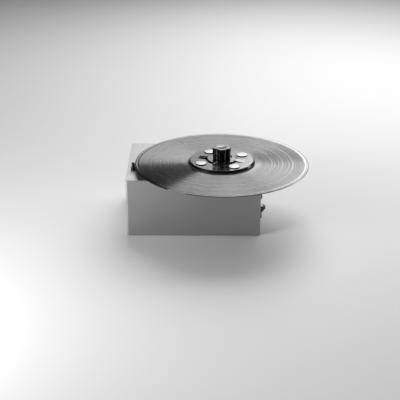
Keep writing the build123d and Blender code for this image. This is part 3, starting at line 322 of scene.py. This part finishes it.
add(tree, "ShaderNodeOutputMaterial", {"Surface": groove.outputs[0]})
record.data.materials.append(vinyl)
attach(record, "turntable")
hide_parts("record")

# ---- record labels ------------------------------------------------------------------------------
# A plain uncoated paper label is pressed into each side while the vinyl is hot.
# Paper fibres give a soft, slightly uneven matt surface.
paper = grained("uncoated_label_paper", "#b9b4a6", rough=0.85, grain_mm=0.6, relief_mm=0.02,
                uneven=0.06)
dress(paper, "record_labels")

# ---- record clamp -------------------------------------------------------------------------------
# A moulded disc with a raised hub and four flared ribs, a seal under its edge, and a tall lobed
# knob that screws it down. The small rest for the suction arm is of the same plastic. Polished
# black ABS mirrors the soft boxes as pale sheets and is nearly black everywhere else.
polished_abs = grained("polished_black_abs", "#060607", rough=0.18, grain_mm=0.6, relief_mm=0.003,
                       uneven=0.05, gloss=0.6)
dress(polished_abs, "clamp_body", "clamp_knob", "arm_rest")
dress(rubber, "clamp_seal")

# ---- clamp caps ---------------------------------------------------------------------------------
# Four turned metal caps with a low dome, pressed into seats in the clamp.
# Satin nickel plating is pale and even, and spreads the light that it takes.
satin_nickel = grained("satin_nickel", "#a0a0a0", rough=0.5, grain_mm=0.8, relief_mm=0.001,
                       metallic=1.0, uneven=0.02)
dress(satin_nickel, "clamp_cap_1", "clamp_cap_2", "clamp_cap_3", "clamp_cap_4")

# A thin raised ring of polished black plastic round each cap is painted shade: it stands in for the
# dark shadow in the gap between each cap and its seat in the clamp.
CAP_R, CAP_PITCH_R, CAP_ANGLE = 8.9, 41.3, 29.65
RING_IN, RING_LIP, RING_OUT = CAP_R - 0.1, CAP_R + 0.2, CAP_R + 0.4
RING_FOOT, RING_TOP = 119.3, 121.4
RING_SHOULDER = RING_TOP - 0.2
RING_STEPS = 48
shadow_ring_profile = [(RING_IN, RING_FOOT), (RING_OUT, RING_FOOT), (RING_OUT, RING_SHOULDER),
                (RING_LIP, RING_TOP), (RING_IN, RING_TOP)]
for number in range(4):
    bearing = math.radians(CAP_ANGLE + 90.0 * number)
    middle = Vector((math.cos(bearing), math.sin(bearing), 0.0)) * CAP_PITCH_R * MM
    # Each dark ring is the painted shadow round its cap.
    cap_shadow_ring = turned(f"cap_shadow_ring_{number + 1}", shadow_ring_profile, RING_STEPS, SPINDLE + middle)
    cap_shadow_ring.data.materials.append(polished_abs)
    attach(cap_shadow_ring, "clamp")

# ---- switches -----------------------------------------------------------------------------------
# Two rocker switches are snapped into the right side, each a satin bezel and a polished rocker.
# Polished black nylon is glossier than the clamp and shows a sharp highlight on each tip.
polished_nylon = grained("polished_black_nylon", "#0a0a0b", rough=0.2, grain_mm=1.5,
                         relief_mm=0.003, uneven=0.05, gloss=0.9)
dress(polished_nylon, "vacuum_rocker", "motor_rocker")

# ---- fuse ---------------------------------------------------------------------------------------
# A cartridge fuse in the drawer of the mains inlet. Its tube is drawn glass, which is smooth and
# clear with a faint green cast.
glass, tree = blank("drawn_glass")
shader = add(tree, "ShaderNodeBsdfPrincipled", {
    "Base Color": linear("#eef4f2"), "Roughness": 0.03, "IOR": 1.52, "Transmission Weight": 1.0})
add(tree, "ShaderNodeOutputMaterial", {"Surface": shader.outputs[0]})
dress(glass, "mains_fuse")

# ---- floor, light and camera --------------------------------------------------------------------
# A plain pale studio floor with matt paint on it. A large soft box stands high behind the machine
# with two small ones under it, and there is one on each side and one overhead.
FLOOR_HALF = 6.0
floor_shape = bmesh.new()
bmesh.ops.create_grid(floor_shape, x_segments=1, y_segments=1, size=FLOOR_HALF)
floor = settled("studio_floor", floor_shape)
floor.data.materials.append(grained("painted_floor", "#cacaca", rough=0.6, grain_mm=2.0,
                                    relief_mm=0.0, uneven=0.01, drift_mm=900.0))

# A faint, even sky keeps the shadows from going black.
world = bpy.data.worlds.new("studio")
bpy.context.scene.world = world
world.use_nodes = True
world.node_tree.nodes.clear()
sky = add(world.node_tree, "ShaderNodeBackground", {"Color": linear("#e6e6e6"), "Strength": 0.05})
add(world.node_tree, "ShaderNodeOutputWorld", {"Surface": sky.outputs[0]})

AIM = Vector((0.0, 0.0, 0.1))   # the middle of the machine, just below its top plate


def soft_box(name, place, size, radiance, roll=0.0):
    """A rectangular soft box that faces the machine, turned about its own axis by its stand."""
    lamp = bpy.data.lights.new(name, "AREA")
    lamp.shape = "RECTANGLE"
    lamp.size, lamp.size_y = size
    lamp.energy = radiance * math.pi * size[0] * size[1]
    holder = bpy.data.objects.new(name, lamp)
    facing = (AIM - Vector(place)).to_track_quat("-Z", "Y").to_matrix().to_4x4()
    holder.matrix_world = Matrix.Translation(place) @ facing @ Matrix.Rotation(roll, 4, "Z")
    bpy.context.scene.collection.objects.link(holder)


soft_box("box_behind", (0.27, 1.27, 1.45), (1.24, 1.91), 5.2, roll=-0.47)
soft_box("box_right", (1.07, 0.62, 0.89), (0.32, 1.41), 4.7, roll=-0.5)
soft_box("box_left", (-0.74, -0.48, 0.3), (0.4, 0.5), 13.5)
soft_box("box_above", (0.25, -0.15, 1.9), (0.9, 0.9), 1.0)
soft_box("box_low", (0.0, 1.7, 0.79), (0.24, 0.2), 2.2)
soft_box("box_side", (0.65, 1.3, 0.55), (0.3, 0.3), 2.5)

# The camera looks 23.6 degrees down. Its lens is about 85 mm on a 36 mm sensor, which is written as
# the focal length in pixels of a frame 400 pixels wide.
CAMERA_AT = Vector((-36.42881, -1526.91289, 710.27423)) * MM
PITCH, YAW, ROLL = 0.41224, 0.00366, 0.0038
FOCAL_PIXELS, FRAME_PIXELS, SENSOR_MM = 939.738, 400.0, 36.0
forward = Vector((math.sin(YAW) * math.cos(PITCH), math.cos(YAW) * math.cos(PITCH),
                  -math.sin(PITCH)))
across = Vector((math.cos(YAW), -math.sin(YAW), 0.0))
upright = across.cross(forward)
right = across * math.cos(ROLL) + upright * math.sin(ROLL)
up = upright * math.cos(ROLL) - across * math.sin(ROLL)
eye = bpy.data.cameras.new("camera")
eye.lens = FOCAL_PIXELS * SENSOR_MM / FRAME_PIXELS
eye.sensor_width = SENSOR_MM
camera = bpy.data.objects.new("camera", eye)
turn = Matrix((right, up, -forward)).transposed().to_4x4()
camera.matrix_world = Matrix.Translation(CAMERA_AT) @ turn
bpy.context.scene.collection.objects.link(camera)
bpy.context.scene.camera = camera
bpy.context.scene.view_settings.view_transform = "Standard"
